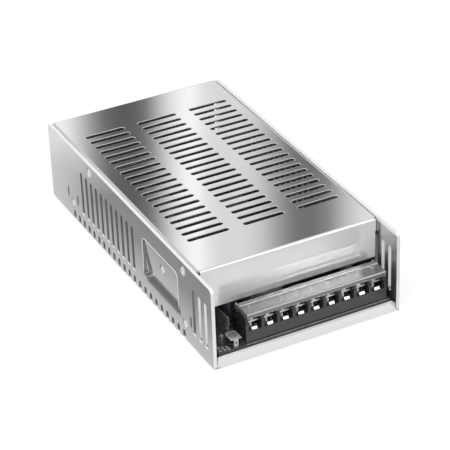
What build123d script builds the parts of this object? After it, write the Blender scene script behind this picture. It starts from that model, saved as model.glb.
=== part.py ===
from build123d import *
import math
import os

# Case: floor, side walls and end lips folded from one sheet
case_length = 215.0
case_width = 115.0
case_height = 51.0
sheet = 2.0
inner_bend_radius = 0.3
wall_corner_radius = 2.5
lip_height = 7.4
lip_gap = 0.6
lip_corner_radius = 2.0
notch_radius = 1.7
notch_height = 1.4

# Long vents in the side walls
vent_width = 3.0
vent_pitch = 7.0
vent_low = 10.9
vent_length = 28.8
side_vent_clear_of_recess = 12.0
side_vent_from_back = 47.5
front_vent_count = 3
front_vent_from_front = 7.2

# Short vents that run round the lower fold
fold_vent_end_margin = 34.0
fold_vent_rise = 7.2
fold_vent_reach = 8.0
fold_vent_shift = 0.7

# Dished recess in each side wall
recess_from_front = 40.1
recess_length = 44.4
recess_low = 13.0
recess_height = 27.0
recess_depth_low = 3.0
recess_depth_high = 0.8
recess_corner_radius = 3.5
recess_wall = 1.5

# Flat-head screws in the side walls
flat_head_radius = 3.1
flat_head_rim = 0.3
flat_head_sunk = 0.2
flat_seat_clearance = 0.3
flat_shank_radius = 1.5
screw_clearance = 0.1
cross_width = 0.9
cross_depth = 0.9

# Side mounting screws, each with a pair of slits above it
side_screw_spacing = 150.0
side_screw_height = 12.0
side_screw_length = 4.0
slit_width = 1.8
slit_length = 7.2
slit_low = 13.2
slit_offset = 6.8

# Tapped mounting holes in the floor
mount_spacing_x = 50.0
mount_spacing_y = 150.0
mount_hole_radius = 1.7
mount_collar_radius = 3.2
mount_collar_height = 1.6

# Lid: top, two end panels and two side flanges in thinner sheet
lid_sheet = 1.0
lid_bend_radius = 1.5
lid_side_gap = 0.3
lid_back_gap = 0.2
lid_corner_relief = 1.2
lid_flange_clearance = 0.5
bay_depth = 19.6
lid_screw_drop = 5.3
lid_screw_length = 5.0
front_lid_screw_from_front = 32.9
back_lid_screw_from_back = 60.1

# Vents in the lid
lid_vent_columns = 3
lid_vent_column_pitch = 34.2
lid_vent_column_offset = 1.4
lid_vent_length = 25.2
lid_vent_end_margin = 29.0
lid_vent_pitch = 7.09
lid_vent_offset = 1.15

# Circuit board on standoffs, with an insulating film below
film_thickness = 0.4
film_side_gap = 0.8
film_end_gap = 0.6
film_hole_clearance = 0.5
standoff_height = 5.0
standoff_radius = 2.75
board_thickness = 1.6
board_side_gap = 2.5
board_end_gap = 0.5
board_screw_inset = 5.5
board_screw_head_radius = 2.8
board_screw_head_height = 1.8
board_screw_shank_radius = 1.25
board_screw_length = 5.0
board_screw_front = 22.5
board_screw_middle = 126.0
board_screw_back = 7.0

# Terminal block
terminal_pitch = 9.5
pocket_least_width = 19.0
barrier_thickness = 1.5
block_right_gap = 4.3
block_front_gap = 1.5
block_depth = 15.2
bay_floor_height = 7.5
barrier_height = 16.0
barrier_depth = 9.6
barrier_nose_radius = 3.5
block_back_height = 10.4
block_back_depth = 4.8
block_foot_width = 1.6
block_foot_height = 0.6
plate_thickness = 0.8
plate_width = 6.9
plate_length = 7.2
plate_tongue_width = 3.4
plate_tongue_length = 2.1
plate_leg_width = 3.0
plate_leg_below = 1.6
plate_collar_radius = 2.2
plate_collar_height = 1.8
plate_side_clearance = 0.15
terminal_screw_radius = 1.7
terminal_screw_lift = 2.8
terminal_screw_head_radius = 3.0
terminal_screw_head_height = 2.3
terminal_screw_length = 9.6
terminal_screw_turn = 37.0
washer_size = 7.0
washer_thickness = 0.8
washer_clearance = 0.15

# Clear hinged cover of the terminal block
cover_thickness = 0.8
cover_above_barrier = 1.7
cover_skirt = 2.0
cover_end_skirt = 1.5
cover_end_inset = 0.6
cover_front_overhang = 0.5
cover_front_radius = 0.7
cover_rib_height = 0.6
cover_rib_width = 0.8
cover_rib_from_front = 8.3
cover_tail = 0.2
panel_above_barrier = 2.0
panel_above_lip = 0.5
pivot_radius = 1.0
pivot_clearance = 0.05
pivot_ear_radius = 1.8
pivot_cheek_radius = 1.6
pivot_cheek_gap = 0.3
pivot_from_back = 3.4
pivot_below_top = 2.9

# Trimmer and indicator in the pocket beside the block
trimmer_from_wall = 10.5
trimmer_width = 6.4
trimmer_length = 8.0
trimmer_height = 5.4
trimmer_front_gap = 1.2
trimmer_plate = 0.4
trimmer_corner_cut = 1.2
trimmer_leg_width = 2.6
trimmer_leg_hole_radius = 0.6
trimmer_leg_hole_drop = 2.6
trimmer_base_radius = 3.6
trimmer_base_height = 2.0
rotor_radius = 2.6
rotor_thickness = 0.6
rotor_shaft_radius = 0.8
rotor_slot_width = 0.6
rotor_slot_depth = 0.35
rotor_clearance = 0.05
indicator_radius = 1.5
indicator_flange_radius = 1.9
indicator_flange_height = 1.0
indicator_height = 6.3
indicator_gap = 0.3
indicator_from_front = 10.5
barrier_sheet = 0.8
barrier_sheet_height = 13.6
barrier_sheet_length = 24.0
barrier_sheet_gap = 0.4

# Power devices clamped to the side walls
spreader_least = 2.0
spreader_margin = 1.0
spreader_bore_clearance = 0.5
pad_thickness = 0.3
device_width = 15.6
device_height = 20.0
device_thickness = 4.8
device_spacing = 23.0
device_lift = 6.4
device_lead_width = 1.2
device_lead_thickness = 0.7
device_lead_pitch = 5.4
clamp_screw_height = 29.5
clamp_thickness = 1.2
clamp_height = 9.0
clamp_overhang = 1.5
nut_across_flats = 5.5
nut_thickness = 2.4
clamp_screw_tip = 0.4

# Parts on the board, placed as shares of its width and length
headroom = 5.0
bulk_radius = 12.5
bulk_at = [(0.77, 0.56), (0.77, 0.705)]
output_cap_radius = 5.0
output_cap_height = 22.0
output_cap_gap = 1.2
output_cap_rows = [0.114, 0.169, 0.224, 0.279]
small_cap_radius = 3.15
small_cap_height = 11.0
small_cap_column = 0.12
small_cap_rows = [0.70, 0.75, 0.80, 0.85]
choke_row = 0.165
choke_outer_radius = 12.0
choke_inner_radius = 6.5
choke_core_height = 10.0
winding_thickness = 1.6
winding_arc = 310.0
transformer_at = (0.385, 0.40)
core_width = 40.0
core_depth = 14.0
core_leg = 9.0
core_centre_leg = 12.0
core_yoke = 7.0
transformer_headroom = 5.5
bobbin_lift = 3.0
bobbin_flange = 1.2
bobbin_depth = 32.0
coil_clearance = 0.3
driver_at = (0.72, 0.86)
driver_size = (19.0, 15.0, 16.0)
driver_bobbin = (14.0, 19.0, 9.0)
line_choke_row = 0.215
line_choke_gap = 0.6
line_core_size = (24.0, 9.0, 25.0)
line_core_leg = 5.0
line_coil_width = 13.8
line_coil_depth = 16.0
line_coil_height = 12.0
box_cap_at = (0.74, 0.325)
box_cap_size = (26.0, 11.0, 19.0)
box_cap_edge = 0.8
fuse_at = (0.70, 0.115)
fuse_length = 20.0
fuse_radius = 2.5
fuse_cap_length = 5.5
fuse_lift = 2.2
fuse_clip_thickness = 0.5
disc_lift = 2.0
disc_lead_radius = 0.4
varistor_at = (0.875, 0.112)
varistor_radius = 6.0
varistor_thickness = 4.4
thermistor_column = 0.93
thermistor_gap = 6.8
thermistor_radius = 6.5
thermistor_thickness = 5.0
y_cap_at = (0.55, 0.279)
y_cap_pitch = 4.6
y_cap_radius = 4.0
y_cap_thickness = 3.4
bridge_at = (0.86, 0.43)
bridge_size = (4.0, 25.0, 16.0)
drum_at = (0.14, 0.50)
drum_radius = 7.0
drum_waist = 4.5
drum_height = 15.0
drum_flange = 2.5
ic_at = (0.26, 0.70)
ic_size = (6.4, 19.4, 3.4)
opto_at = (0.26, 0.815)
opto_size = (6.4, 4.6, 3.4)
ic_lift = 0.5
film_cap_column = 0.40
film_cap_rows = [0.62, 0.67, 0.72, 0.77, 0.82]
film_cap_size = (7.2, 3.0, 7.5)
resistor_column = 0.52
resistor_rows = [0.60, 0.64, 0.68, 0.72, 0.76, 0.80]
resistor_radius = 1.2
resistor_length = 6.3
resistor_lead_radius = 0.35
resistor_lead_span = 10.0
power_resistor_at = (0.20, 0.93)
power_resistor_size = (22.0, 8.0, 8.0)

# Places worked out from the sizes above
half_length = case_length / 2
half_width = case_width / 2
front_y = -half_length
back_y = half_length
wall_in = half_width - sheet
bend_radius = inner_bend_radius + sheet
lip_half = wall_in - lip_gap
recess_high = recess_low + recess_height
recess_y = (front_y + recess_from_front, front_y + recess_from_front + recess_length)
side_vent_start = back_y - side_vent_from_back
side_vent_count = int((side_vent_start - recess_y[1] - side_vent_clear_of_recess) / vent_pitch) + 1
fold_vent_count = round((case_length - 2 * fold_vent_end_margin) / vent_pitch) + 1
clamp_y = sum(recess_y) / 2
panel_y = front_y + bay_depth
lid_half = wall_in - lid_side_gap
lid_back_y = back_y - lid_back_gap
lid_vent_rows = int((lid_back_y - panel_y - 2 * lid_vent_end_margin) / lid_vent_pitch) + 1
lid_under = case_height - lid_sheet
lid_screw_z = case_height - lid_screw_drop
lid_flange_low = recess_high + recess_wall + lid_flange_clearance
lid_screw_y = (front_y + front_lid_screw_from_front, back_y - back_lid_screw_from_back)
board_low = sheet + standoff_height
board_top = board_low + board_thickness
board_half = wall_in - board_side_gap
board_front = front_y + sheet + board_end_gap
board_back = back_y - sheet - board_end_gap
room = lid_under - board_top

block_right = wall_in - block_right_gap
terminal_room = block_right + wall_in - pocket_least_width - barrier_thickness
terminal_count = int(terminal_room / terminal_pitch)
block_width = terminal_count * terminal_pitch + barrier_thickness
block_left = block_right - block_width
block_front = front_y + sheet + block_front_gap
block_back = block_front + block_depth
bay_floor = board_top + bay_floor_height
barrier_top = board_top + barrier_height
bay_end = block_back - block_back_depth
plate_front = block_front + 0.8
plate_top = bay_floor + plate_thickness
terminal_screw_y = plate_front + plate_tongue_length + plate_length / 2
terminal_x = [block_left + barrier_thickness / 2 + (i + 0.5) * terminal_pitch for i in range(terminal_count)]

cover_under = barrier_top + cover_above_barrier
cover_top = cover_under + cover_thickness
cover_front = block_front - cover_front_overhang
cover_ends = (block_left + cover_end_inset, block_right - cover_end_inset)
pivot_cheek_inset = cover_end_inset + cover_thickness + pivot_cheek_gap
pivot_y = block_back - pivot_from_back
pivot_z = cover_top - pivot_below_top
panel_low = barrier_top + panel_above_barrier

trimmer_x = trimmer_from_wall + trimmer_width / 2 - wall_in
trimmer_y = board_front + trimmer_front_gap + trimmer_length / 2
trimmer_top = board_top + trimmer_height
barrier_sheet_x = trimmer_x
barrier_sheet_front = trimmer_y + trimmer_length / 2 + barrier_sheet_gap
indicator_x = trimmer_x - trimmer_width / 2 - indicator_gap - indicator_flange_radius
output_cap_x = barrier_sheet_x + barrier_sheet / 2 + output_cap_gap + output_cap_radius

spreader_face = half_width - recess_depth_low - sheet - spreader_least
pad_face = spreader_face - pad_thickness
device_face = pad_face - device_thickness
clamp_face = device_face - clamp_thickness
nut_face = clamp_face - nut_thickness

line_choke_half = line_core_size[0] / 2 - line_core_leg / 2 + line_coil_width / 2
line_choke_x = clamp_face - line_choke_gap - line_choke_half
choke_x = (output_cap_x + output_cap_radius + line_choke_x - line_choke_half) / 2
thermistor_y = clamp_y + (device_spacing + device_width) / 2 + thermistor_gap + thermistor_radius


# Helpers for outlines and blocks
def rect(u, v):
    return Pos((u[0] + u[1]) / 2, (v[0] + v[1]) / 2) * Rectangle(u[1] - u[0], v[1] - v[0])


def low_rounded(u, v, radius):
    shape = rect(u, v)
    return fillet(shape.vertices().group_by(Axis.Y)[0], radius)


def high_rounded(u, v, radius):
    shape = rect(u, v)
    return fillet(shape.vertices().group_by(Axis.Y)[-1], radius)


def block(x, y, z):
    return extrude(Pos(0, 0, z[0]) * rect(x, y), amount=z[1] - z[0])


def prism_x(outline, low, high):
    plane = Plane((low, 0, 0), x_dir=(0, 1, 0), z_dir=(1, 0, 0))
    return extrude(plane * outline, amount=high - low)


def prism_y(outline, low, high):
    plane = Plane((0, high, 0), x_dir=(1, 0, 0), z_dir=(0, -1, 0))
    return extrude(plane * outline, amount=high - low)


def polygon(*points):
    return make_face(Polyline(*points, close=True))


def turned(*points):
    return revolve(Plane.XZ * polygon(*points), Axis.Z)


def rod(radius, low, high, x=0.0, y=0.0):
    return Pos(x, y, (low + high) / 2) * Cylinder(radius, high - low)


def rod_x(radius, low, high, y, z):
    return Pos((low + high) / 2, y, z) * Rot(0, 90, 0) * Cylinder(radius, high - low)


def rod_y(radius, low, high, x, z):
    return Pos(x, (low + high) / 2, z) * Rot(90, 0, 0) * Cylinder(radius, high - low)


def slot_upright(y, z_low, length, width):
    return Pos(y, z_low + length / 2) * SlotOverall(length, width, rotation=90)


def row(count, pitch, middle=0.0):
    return [middle + (i - (count - 1) / 2) * pitch for i in range(count)]


def on_board(share):
    x = -board_half + share[0] * 2 * board_half
    y = board_front + share[1] * (board_back - board_front)
    return x, y


def mirrored(shape):
    return mirror(shape, about=Plane.YZ)


def both_sides(shape):
    return [shape, mirrored(shape)]


def wall_location(y, z, depth=0.0):
    return Plane((half_width - depth, y, z), x_dir=(0, 1, 0), z_dir=(1, 0, 0)).location


def cross_recess(depth, width, span):
    bar = block((-span / 2, span / 2), (-width / 2, width / 2), (-depth, depth))
    return bar + Rot(0, 0, 90) * bar


def save(name, shape):
    solids = shape if isinstance(shape, list) else shape.solids()
    export_step(Compound(children=[Solid(s.wrapped) for s in solids]), f"parts/{name}.step")


# Screw with a sunk flat head, its head's face at z = 0
def flat_screw(length, clearance=0.0):
    head = flat_head_radius + clearance
    shank = flat_shank_radius + (screw_clearance if clearance else 0.0)
    cone = flat_head_rim + head - shank
    top = flat_head_sunk + 1.0 if clearance else 0.0
    outline = [(0, top), (head, top), (head, -flat_head_rim), (shank, -cone), (shank, -length), (0, -length)]
    return turned(*outline)


def crossed_flat_screw(length):
    return flat_screw(length) - cross_recess(cross_depth, cross_width, 2 * flat_shank_radius + 1)


# Case
def recess_depth(z):
    return recess_depth_high + (recess_high - z) * (recess_depth_low - recess_depth_high) / recess_height


def dished(grow, inward):
    y = (recess_y[0] - grow, recess_y[1] + grow)
    z = (recess_low - grow, recess_high + grow)
    plan = Pos(sum(y) / 2, sum(z) / 2) * RectangleRounded(y[1] - y[0], z[1] - z[0], recess_corner_radius + grow)
    column = prism_x(plan, half_width - recess_depth_low - 2 * sheet, half_width + 1 - inward)
    low, high = recess_low - 2 * grow - 1, recess_high + 2 * grow + 1
    slant = polygon(
        (half_width - recess_depth(low) - inward, low),
        (half_width - recess_depth(high) - inward, high),
        (half_width + 2, high),
        (half_width + 2, low),
    )
    return column & prism_y(slant, y[0] - 1, y[1] + 1)


def folded_sheet():
    outer = low_rounded((-half_width, half_width), (0, case_height), bend_radius)
    inner = low_rounded((-wall_in, wall_in), (sheet, case_height + 1), inner_bend_radius)
    walls = prism_y(outer - inner, front_y, back_y)
    side = low_rounded((front_y, back_y), (0, case_height), bend_radius)
    side = fillet(side.vertices().group_by(Axis.Y)[-1], wall_corner_radius)
    walls = walls & prism_x(side, -half_width, half_width)
    outer = low_rounded((front_y, back_y), (0, lip_height), bend_radius)
    inner = low_rounded((front_y + sheet, back_y - sheet), (sheet, lip_height + 1), inner_bend_radius)
    lips = prism_x(outer - inner, -lip_half, lip_half)
    lips = lips & prism_y(high_rounded((-lip_half, lip_half), (0, lip_height), lip_corner_radius), front_y, back_y)
    return walls + lips


def side_vents():
    ys = [side_vent_start - i * vent_pitch for i in range(side_vent_count)]
    ys += [front_y + front_vent_from_front + i * vent_pitch for i in range(front_vent_count)]
    outline = Sketch() + [slot_upright(y, vent_low, vent_length, vent_width) for y in ys]
    slit_y = [s * side_screw_spacing / 2 + t * slit_offset for s in (-1, 1) for t in (-1, 1)]
    outline += [slot_upright(y, slit_low, slit_length, slit_width) for y in slit_y]
    return prism_x(outline, -half_width - 1, half_width + 1)


def fold_vents():
    ys = row(fold_vent_count, vent_pitch, fold_vent_shift)
    upright = Sketch() + [slot_upright(y, -1, fold_vent_rise + 1, vent_width) for y in ys]
    flat = Sketch() + [
        Pos(half_width + 1 - fold_vent_reach / 2 - 0.5, y) * SlotOverall(fold_vent_reach + 1, vent_width) for y in ys
    ]
    on_wall = prism_x(upright, wall_in - inner_bend_radius, half_width + 1)
    on_floor = extrude(Pos(0, 0, -1) * flat, amount=sheet + 1)
    return both_sides(on_wall) + both_sides(on_floor)


def corner_notches():
    x = wall_in - lip_gap / 2
    tools = []
    for y in (front_y, back_y):
        tools += both_sides(rod_y(notch_radius, y - bend_radius, y + bend_radius, x, notch_height))
    return tools


def wall_screw_seats():
    seat = flat_screw(2 * sheet + recess_depth_low, flat_seat_clearance)
    tools = [wall_location(y, lid_screw_z, flat_head_sunk) * seat for y in lid_screw_y]
    depth = recess_depth(clamp_screw_height) + flat_head_sunk
    tools.append(wall_location(clamp_y, clamp_screw_height, depth) * seat)
    return tools + [mirrored(t) for t in tools]


def side_screw_seats():
    seat = flat_screw(side_screw_length + sheet, flat_seat_clearance)
    tools = [wall_location(y, side_screw_height, flat_head_sunk) * seat for y in row(2, side_screw_spacing)]
    return tools + [mirrored(t) for t in tools]


def side_collars():
    reach = side_screw_length - sheet
    collars = [
        rod_x(flat_head_radius, wall_in - reach, wall_in, y, side_screw_height) for y in row(2, side_screw_spacing)
    ]
    return collars + [mirrored(c) for c in collars]


def mount_places():
    return [(x, y) for x in row(2, mount_spacing_x) for y in row(2, mount_spacing_y)]


def case():
    body = folded_sheet()
    body += both_sides(dished(recess_wall, sheet))
    body += side_collars()
    body += [rod(mount_collar_radius, sheet / 2, sheet + mount_collar_height, x, y) for x, y in mount_places()]
    body -= both_sides(dished(0.0, 0.0))
    body -= side_vents()
    body -= fold_vents()
    body -= corner_notches()
    body -= wall_screw_seats() + side_screw_seats()
    body -= [rod(mount_hole_radius, -1, 2 * sheet + mount_collar_height, x, y) for x, y in mount_places()]
    return body


# Lid
def lid_shell():
    inner_bend = lid_bend_radius - lid_sheet
    flange_low = lid_flange_low
    outer = high_rounded((-lid_half, lid_half), (flange_low, case_height), lid_bend_radius)
    inner = high_rounded((-lid_half + lid_sheet, lid_half - lid_sheet), (flange_low - 1, lid_under), inner_bend)
    sides = prism_y(outer - inner, panel_y + lid_bend_radius, lid_back_y - lid_bend_radius)
    outer = high_rounded((panel_y, lid_back_y), (0, case_height), lid_bend_radius)
    inner = high_rounded((panel_y + lid_sheet, lid_back_y - lid_sheet), (-1, lid_under), inner_bend)
    ends = prism_x(outer - inner, lid_bend_radius - lid_half, lid_half - lid_bend_radius)
    ends -= block((-half_width, half_width), (front_y, 0), (-1, panel_low))
    ends -= block((-half_width, half_width), (0, back_y), (-1, lip_height + panel_above_lip))
    return sides + ends


def lid():
    body = lid_shell()
    x = lid_half - lid_corner_relief / 2
    for y in (panel_y + lid_corner_relief / 2, lid_back_y - lid_corner_relief / 2):
        body -= both_sides(rod(lid_corner_relief, lid_under - lid_sheet, case_height + 1, x, y))
    middle_y = (panel_y + lid_back_y) / 2 + lid_vent_offset
    vents = Sketch() + [
        Pos(x, y) * SlotOverall(lid_vent_length, vent_width)
        for x in row(lid_vent_columns, lid_vent_column_pitch, lid_vent_column_offset)
        for y in row(lid_vent_rows, lid_vent_pitch, middle_y)
    ]
    body -= extrude(Pos(0, 0, lid_under - 1) * vents, amount=lid_sheet + 2)
    hole = flat_shank_radius + screw_clearance
    body -= [rod_x(hole, -half_width, half_width, y, lid_screw_z) for y in lid_screw_y]
    return body


# Screws of the side walls
def lid_screws():
    screw = crossed_flat_screw(lid_screw_length)
    right = [wall_location(y, lid_screw_z, flat_head_sunk) * screw for y in lid_screw_y]
    return right + [mirrored(s) for s in right]


def side_screws():
    screw = crossed_flat_screw(side_screw_length)
    right = [wall_location(y, side_screw_height, flat_head_sunk) * screw for y in row(2, side_screw_spacing)]
    return right + [mirrored(s) for s in right]


def clamp_screws():
    depth = recess_depth(clamp_screw_height) + flat_head_sunk
    length = half_width - depth - nut_face + clamp_screw_tip
    return both_sides(wall_location(clamp_y, clamp_screw_height, depth) * crossed_flat_screw(length))


# Board, its film, standoffs and screws
def board_screw_places():
    x = board_half - board_screw_inset
    ys = (front_y + board_screw_front, front_y + board_screw_middle, board_back - board_screw_back)
    return [(s * x, y) for y in ys for s in (-1, 1)]


def film():
    body = block(
        (film_side_gap - wall_in, wall_in - film_side_gap),
        (front_y + sheet + film_end_gap, back_y - sheet - film_end_gap),
        (sheet, sheet + film_thickness),
    )
    for x, y in board_screw_places():
        body -= rod(standoff_radius + film_hole_clearance, 0, board_low, x, y)
    for x, y in mount_places():
        body -= rod(mount_collar_radius + film_hole_clearance, 0, board_low, x, y)
    for x in row(2, 2 * half_width - fold_vent_reach):
        for y in row(fold_vent_count, vent_pitch, fold_vent_shift):
            body -= Pos(x, y, sheet) * Box(fold_vent_reach, vent_width, sheet)
    return body


def standoffs():
    bore = board_screw_shank_radius + screw_clearance / 2
    return [
        rod(standoff_radius, sheet, board_low, x, y) - rod(bore, sheet, board_low + 1, x, y)
        for x, y in board_screw_places()
    ]


def board_screws():
    screws = []
    head = board_screw_head_radius
    shank = board_screw_shank_radius
    for x, y in board_screw_places():
        outline = [
            (0, board_top - board_screw_length + 0.2),
            (shank, board_top - board_screw_length + 0.2),
            (shank, board_top),
            (head, board_top),
            (head, board_top + board_screw_head_height / 2),
            (head * 0.7, board_top + board_screw_head_height),
            (0, board_top + board_screw_head_height),
        ]
        recess = Pos(x, y, board_top + board_screw_head_height) * cross_recess(cross_depth, cross_width, 2 * shank)
        screws.append(Pos(x, y, 0) * turned(*outline) - recess)
    return screws


def plate_leg_box(x, grow=0.0):
    y = plate_front + plate_tongue_length + plate_length
    return block(
        (x - plate_leg_width / 2 - grow, x + plate_leg_width / 2 + grow),
        (y - plate_thickness - grow, y + grow),
        (board_low - plate_leg_below, plate_top),
    )


def board():
    body = block((-board_half, board_half), (board_front, board_back), (board_low, board_top))
    hole = board_screw_shank_radius + 2 * screw_clearance
    body -= [rod(hole, 0, board_top + 1, x, y) for x, y in board_screw_places()]
    body -= [plate_leg_box(x, plate_side_clearance) for x in terminal_x]
    return body


# Terminal block
def block_base():
    outline = polygon(
        (block_front, board_top),
        (block_front, bay_floor),
        (bay_end, bay_floor),
        (bay_end, board_top + block_back_height),
        (block_back, board_top + block_back_height),
        (block_back, board_top),
    )
    base = prism_x(outline, block_left, block_right)
    opening = (block_left + block_foot_width, block_right - block_foot_width)
    return base - block(opening, (block_front - 1, block_back + 1), (board_top - 1, board_top + block_foot_height))


def barrier(x):
    back = block_front + barrier_depth
    outline = polygon(
        (block_front, bay_floor - 1),
        (block_front, barrier_top),
        (back, barrier_top),
        (bay_end, board_top + block_back_height),
        (bay_end, bay_floor - 1),
    )
    nose = outline.vertices().sort_by_distance((block_front, barrier_top, 0))[0]
    outline = fillet(nose, barrier_nose_radius)
    return prism_x(outline, x - barrier_thickness / 2, x + barrier_thickness / 2)


def pivot_cheek(side_x, inward):
    radius = pivot_cheek_radius
    post = rect((pivot_y - radius, pivot_y + radius), (board_top + block_back_height - 1, pivot_z))
    outline = post + Pos(pivot_y, pivot_z) * Circle(radius)
    return prism_x(outline, min(side_x, side_x + inward), max(side_x, side_x + inward))


def terminal_block():
    body = block_base()
    body += [barrier(block_left + barrier_thickness / 2 + i * terminal_pitch) for i in range(terminal_count + 1)]
    inset = pivot_cheek_inset
    body += pivot_cheek(block_left + inset, barrier_thickness)
    body += pivot_cheek(block_right - inset, -barrier_thickness)
    body += rod_x(pivot_radius, cover_ends[0], block_left + inset + 1, pivot_y, pivot_z)
    body += rod_x(pivot_radius, block_right - inset - 1, cover_ends[1], pivot_y, pivot_z)
    low = plate_top + terminal_screw_head_height - terminal_screw_length
    body -= [rod(plate_collar_radius + screw_clearance, low, bay_floor + 1, x, terminal_screw_y) for x in terminal_x]
    body -= [plate_leg_box(x, plate_side_clearance) for x in terminal_x]
    return body


def terminal_plate(x):
    back = plate_front + plate_tongue_length + plate_length
    main = rect((x - plate_width / 2, x + plate_width / 2), (plate_front + plate_tongue_length, back))
    tongue = rect((x - plate_tongue_width / 2, x + plate_tongue_width / 2), (plate_front, terminal_screw_y))
    body = extrude(Pos(0, 0, bay_floor) * (main + tongue), amount=plate_thickness)
    body += rod(plate_collar_radius, bay_floor - plate_collar_height, bay_floor + 0.1, x, terminal_screw_y)
    body += plate_leg_box(x)
    bore = terminal_screw_radius + screw_clearance / 2
    return body - rod(bore, board_top, plate_top + 1, x, terminal_screw_y)


def terminal_washer(x):
    low = plate_top + terminal_screw_lift
    size = washer_size
    body = Pos(x, terminal_screw_y, low + washer_thickness / 2) * Box(size, size, washer_thickness)
    return body - rod(terminal_screw_radius + washer_clearance, low - 1, low + washer_thickness + 1, x, terminal_screw_y)


def terminal_screw(x, turn):
    head_low = plate_top + terminal_screw_lift + washer_thickness
    head_high = head_low + terminal_screw_head_height
    head = terminal_screw_head_radius
    outline = [
        (0, head_high - terminal_screw_length),
        (terminal_screw_radius, head_high - terminal_screw_length),
        (terminal_screw_radius, head_low),
        (head, head_low),
        (head, head_low + terminal_screw_head_height * 0.5),
        (head * 0.75, head_high),
        (0, head_high),
    ]
    recess = Pos(0, 0, head_high) * Rot(0, 0, turn) * cross_recess(1.2, 1.0, 1.4 * head)
    return Pos(x, terminal_screw_y, 0) * (turned(*outline) - recess)


def terminal_cover():
    low_x, high_x = cover_ends
    front = cover_front
    tail = pivot_y + cover_tail
    body = block((low_x, high_x), (front, tail), (cover_under, cover_top))
    body += block((low_x, high_x), (front, front + cover_thickness), (cover_under - cover_skirt, cover_top))
    rib = front + cover_rib_from_front
    body += block((low_x, high_x), (rib, rib + cover_rib_width), (cover_under, cover_top + cover_rib_height))
    edge = body.edges().filter_by(Axis.X).sort_by(lambda e: e.center().Y - e.center().Z)[0]
    body = fillet(edge, cover_front_radius)
    end = rect((front + cover_front_radius, pivot_y), (cover_under - cover_end_skirt, cover_top))
    ear = rect((pivot_y - pivot_ear_radius, pivot_y + pivot_ear_radius), (pivot_z, cover_top))
    ear += Pos(pivot_y, pivot_z) * Circle(pivot_ear_radius)
    outline = end + ear
    body += prism_x(outline, low_x, low_x + cover_thickness)
    body += prism_x(outline, high_x - cover_thickness, high_x)
    bore = pivot_radius + pivot_clearance
    return body - rod_x(bore, low_x - 1, high_x + 1, pivot_y, pivot_z)


# Trimmer, indicator and barrier sheet in the pocket
def trimmer_frame():
    x, y = trimmer_x, trimmer_y
    half_x, half_y = trimmer_width / 2, trimmer_length / 2
    top = block((x - half_x, x + half_x), (y - half_y, y + half_y), (trimmer_top - trimmer_plate, trimmer_top))
    top = chamfer(top.edges().filter_by(Axis.Z).group_by(Axis.Y)[-1], trimmer_corner_cut)
    leg = (x - trimmer_leg_width / 2, x + trimmer_leg_width / 2)
    for low, high in ((y - half_y, y - half_y + trimmer_plate), (y + half_y - trimmer_plate, y + half_y)):
        top += block(leg, (low, high), (board_top, trimmer_top))
    top -= rod_y(trimmer_leg_hole_radius, y - half_y - 1, y, x, trimmer_top - trimmer_leg_hole_drop)
    return top - rod(rotor_shaft_radius + rotor_clearance, 0, trimmer_top + 1, x, y)


def trimmer_base():
    body = rod(trimmer_base_radius, board_top, board_top + trimmer_base_height, trimmer_x, trimmer_y)
    return body - rod(rotor_shaft_radius + rotor_clearance, board_top + 0.6, trimmer_top, trimmer_x, trimmer_y)


def trimmer_rotor():
    x, y = trimmer_x, trimmer_y
    top = trimmer_top + rotor_thickness
    body = rod(rotor_radius, trimmer_top, top, x, y)
    body += rod(rotor_shaft_radius, board_top + 0.6 + rotor_clearance, top, x, y)
    return body - Pos(x, y, top) * Rot(0, 0, 20) * cross_recess(rotor_slot_depth, rotor_slot_width, 2 * rotor_radius)


def indicator():
    r = indicator_radius
    dome = board_top + indicator_height - r
    body = rod(indicator_flange_radius, board_top, board_top + indicator_flange_height)
    body += rod(r, board_top, dome)
    body += Pos(0, 0, dome) * Sphere(r)
    return Pos(indicator_x, front_y + indicator_from_front, 0) * body


def barrier_sheet_part():
    half = barrier_sheet / 2
    return block(
        (barrier_sheet_x - half, barrier_sheet_x + half),
        (barrier_sheet_front, barrier_sheet_front + barrier_sheet_length),
        (board_top, board_top + barrier_sheet_height),
    )


# Power devices: spreader against the dished wall, pads, packages and clamp strip
def device_places():
    return row(2, device_spacing, clamp_y)


def spreader():
    low, high = recess_low + spreader_margin, recess_high - spreader_margin
    outline = polygon(
        (half_width - recess_depth(low) - sheet, low),
        (spreader_face, low),
        (spreader_face, high),
        (half_width - recess_depth(high) - sheet, high),
    )
    body = prism_y(outline, recess_y[0] + spreader_margin, recess_y[1] - spreader_margin)
    hole = flat_shank_radius + spreader_bore_clearance
    return body - rod_x(hole, 0, half_width, clamp_y, clamp_screw_height)


def device_band():
    low = board_top + device_lift
    return low, low + device_height


def pads():
    low, high = device_band()
    half = device_width / 2
    right = [block((pad_face, spreader_face), (y - half, y + half), (low, high)) for y in device_places()]
    return right + [mirrored(p) for p in right]


def device(y):
    low, high = device_band()
    half = device_width / 2
    body = block((device_face, pad_face), (y - half, y + half), (low, high))
    lead_x = (pad_face - device_thickness / 2, pad_face - device_thickness / 2 + device_lead_thickness)
    for lead_y in row(3, device_lead_pitch, y):
        body += block(
            lead_x, (lead_y - device_lead_width / 2, lead_y + device_lead_width / 2), (board_top, low + 1)
        )
    return body


def clamp_strip():
    reach = device_spacing / 2 + device_width / 2 - clamp_overhang
    half = clamp_height / 2
    outline = rect((clamp_y - reach, clamp_y + reach), (clamp_screw_height - half, clamp_screw_height + half))
    outline = fillet(outline.vertices(), half / 3)
    hole = flat_shank_radius + screw_clearance
    return prism_x(outline, clamp_face, device_face) - rod_x(hole, 0, half_width, clamp_y, clamp_screw_height)


def clamp_nut():
    outline = Pos(clamp_y, clamp_screw_height) * RegularPolygon(nut_across_flats / 2, 6, major_radius=False)
    hole = flat_shank_radius + screw_clearance / 2
    return prism_x(outline, nut_face, clamp_face) - rod_x(hole, 0, half_width, clamp_y, clamp_screw_height)


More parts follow.
